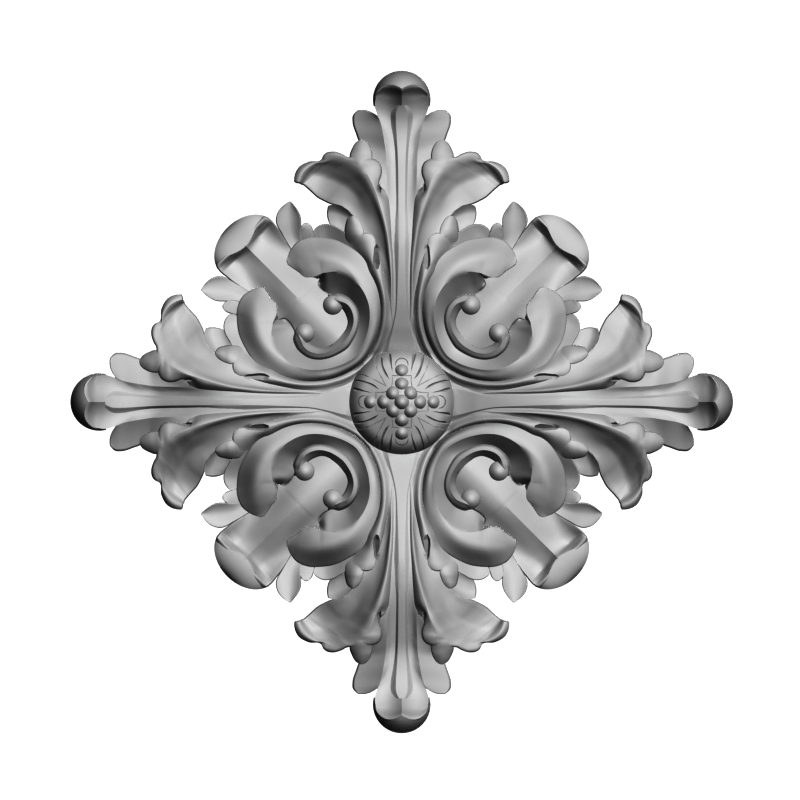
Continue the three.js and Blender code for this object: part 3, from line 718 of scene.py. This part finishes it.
domed = add_node(carving, "GeometryNodeObjectInfo", {"Object": given["Boss"]}).outputs["Geometry"]
bead = add_node(carving, "GeometryNodeObjectInfo", {"Object": given["Centre bead"]}).outputs["Geometry"]
grooved = boolean("DIFFERENCE", Mesh_1=domed, Mesh_2=in_four_quarters("Boss cuts"))
joined = boolean("UNION", Mesh_2=[in_four_quarters("Quarter forms"), grooved, bead])
slab = add_node(carving, "GeometryNodeMeshCube", Size=(SLAB, SLAB, SLAB))
sink = add_node(carving, "ShaderNodeCombineXYZ", {"Y": worked_out("ADD", given["Planed off"], SLAB / 2)})
below = add_node(carving, "GeometryNodeTransform",
                 {"Geometry": slab.outputs[0], "Translation": sink.outputs[0]})
planed = boolean("DIFFERENCE", Mesh_1=joined, Mesh_2=[in_four_quarters("Slits"), below.outputs[0]])
smooth = add_node(carving, "GeometryNodeSetShadeSmooth", {"Geometry": planed})
fold = add_node(carving, "GeometryNodeInputMeshEdgeAngle")
sharp = add_node(carving, "FunctionNodeCompare",
                 {"A": fold.outputs["Unsigned Angle"], "B": given["Crease angle"]},
                 {"operation": "GREATER_THAN"})
creased = add_node(carving, "GeometryNodeSetShadeSmooth",
                   {"Geometry": smooth.outputs[0], "Selection": sharp.outputs[0]}, {"domain": "EDGE"},
                   Shade_Smooth=False)
whole = add_node(carving, "GeometryNodeRealizeInstances", {"Geometry": creased.outputs[0]})
finished = add_node(carving, "GeometryNodeSetMaterial",
                    {"Geometry": whole.outputs[0], "Material": given["Finish"]})
add_node(carving, "NodeGroupOutput", {"Geometry": finished.outputs[0]})

rosette = bpy.data.objects.new("carved_rosette", bpy.data.meshes.new("carved_rosette"))
bpy.context.scene.collection.objects.link(rosette)
work = rosette.modifiers.new("carving", "NODES")
work.node_group = carving
for name, value in (("Quarter forms", quarter_forms), ("Boss cuts", boss_cuts), ("Slits", slits),
                    ("Boss", boss), ("Centre bead", centre_bead), ("Quarters", 4),
                    ("Crease angle", CREASE_ANGLE), ("Planed off", 0.0), ("Finish", primer)):
    work[sockets[name]] = value
bpy.context.view_layer.update()
evaluated = rosette.evaluated_get(bpy.context.evaluated_depsgraph_get())
rosette.data = bpy.data.meshes.new_from_object(evaluated)
rosette.modifiers.clear()
rosette.data.name = "carved_rosette"
for collection in (quarter_forms, boss_cuts, slits):
    for form in list(collection.objects):
        bpy.data.objects.remove(form)
    bpy.data.collections.remove(collection)
for form in (boss, centre_bead):
    bpy.data.objects.remove(form)
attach(rosette, "root")
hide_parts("rosette")

# The studio: a pale floor well below the piece, a white surround, a broad light from above the viewer's right
# shoulder and another behind the piece for its back. Neither light throws a shadow: slopes shade the carving.
FLOOR_HALF = 0.6
FLOOR_LEVEL = -1
corners = [(FLOOR_HALF * x, FLOOR_HALF * y, FLOOR_LEVEL) for x, y in ((-1, -1), (1, -1), (1, 1), (-1, 1))]
floor = bpy.data.objects.new("floor", bpy.data.meshes.new("floor"))
floor.data.from_pydata(corners, [], [(0, 1, 2, 3)])
bpy.context.scene.collection.objects.link(floor)
pale = bpy.data.materials.new("pale floor")
pale.use_nodes = True
pale.node_tree.nodes["Principled BSDF"].inputs["Base Color"].default_value = linear("e8e8e8")
floor.data.materials.append(pale)

FILL_LIGHT = 0.02
BACKGROUND = 1.1
world = bpy.data.worlds.new("white surround")
bpy.context.scene.world = world
world.use_nodes = True
tree = world.node_tree
tree.nodes.clear()
ray = add_node(tree, "ShaderNodeLightPath").outputs["Is Camera Ray"]
strength = add_node(tree, "ShaderNodeMapRange", {"Value": ray}, To_Min=FILL_LIGHT, To_Max=BACKGROUND)
white = add_node(tree, "ShaderNodeBackground", {"Strength": strength.outputs[0]}, Color=(1, 1, 1, 1))
add_node(tree, "ShaderNodeOutputWorld", {"Surface": white.outputs[0]})

SUN_WIDTH = math.radians(30)


def sun(name, energy, towards):
    """A broad light a long way off, in a direction from the piece, which throws no shadow."""
    light = bpy.data.objects.new(name, bpy.data.lights.new(name, "SUN"))
    light.data.energy = energy
    light.data.angle = SUN_WIDTH
    light.data.use_shadow = False
    light.rotation_euler = Vector(towards).to_track_quat("Z", "Y").to_euler()
    bpy.context.scene.collection.objects.link(light)


sun("key light", energy=11, towards=(0.2, -0.92, 0.335))
sun("light behind the piece", energy=6, towards=(0, 1, 0))

# The camera looks straight at the front, and is set off the middle by about two pixels of the picture.
VIEW_WIDTH = 0.4
VIEW_DISTANCE = 2
ASIDE, ABOVE = -0.00086, 0.00099
PICTURE_GAMMA = 0.4
camera = bpy.data.objects.new("camera", bpy.data.cameras.new("camera"))
camera.data.type = "ORTHO"
camera.data.ortho_scale = VIEW_WIDTH
camera.location = (ASIDE, -VIEW_DISTANCE, ABOVE)
camera.rotation_euler = (math.pi / 2, 0, 0)
bpy.context.scene.collection.objects.link(camera)
bpy.context.scene.camera = camera
bpy.context.scene.view_settings.view_transform = "Standard"
bpy.context.scene.view_settings.gamma = PICTURE_GAMMA
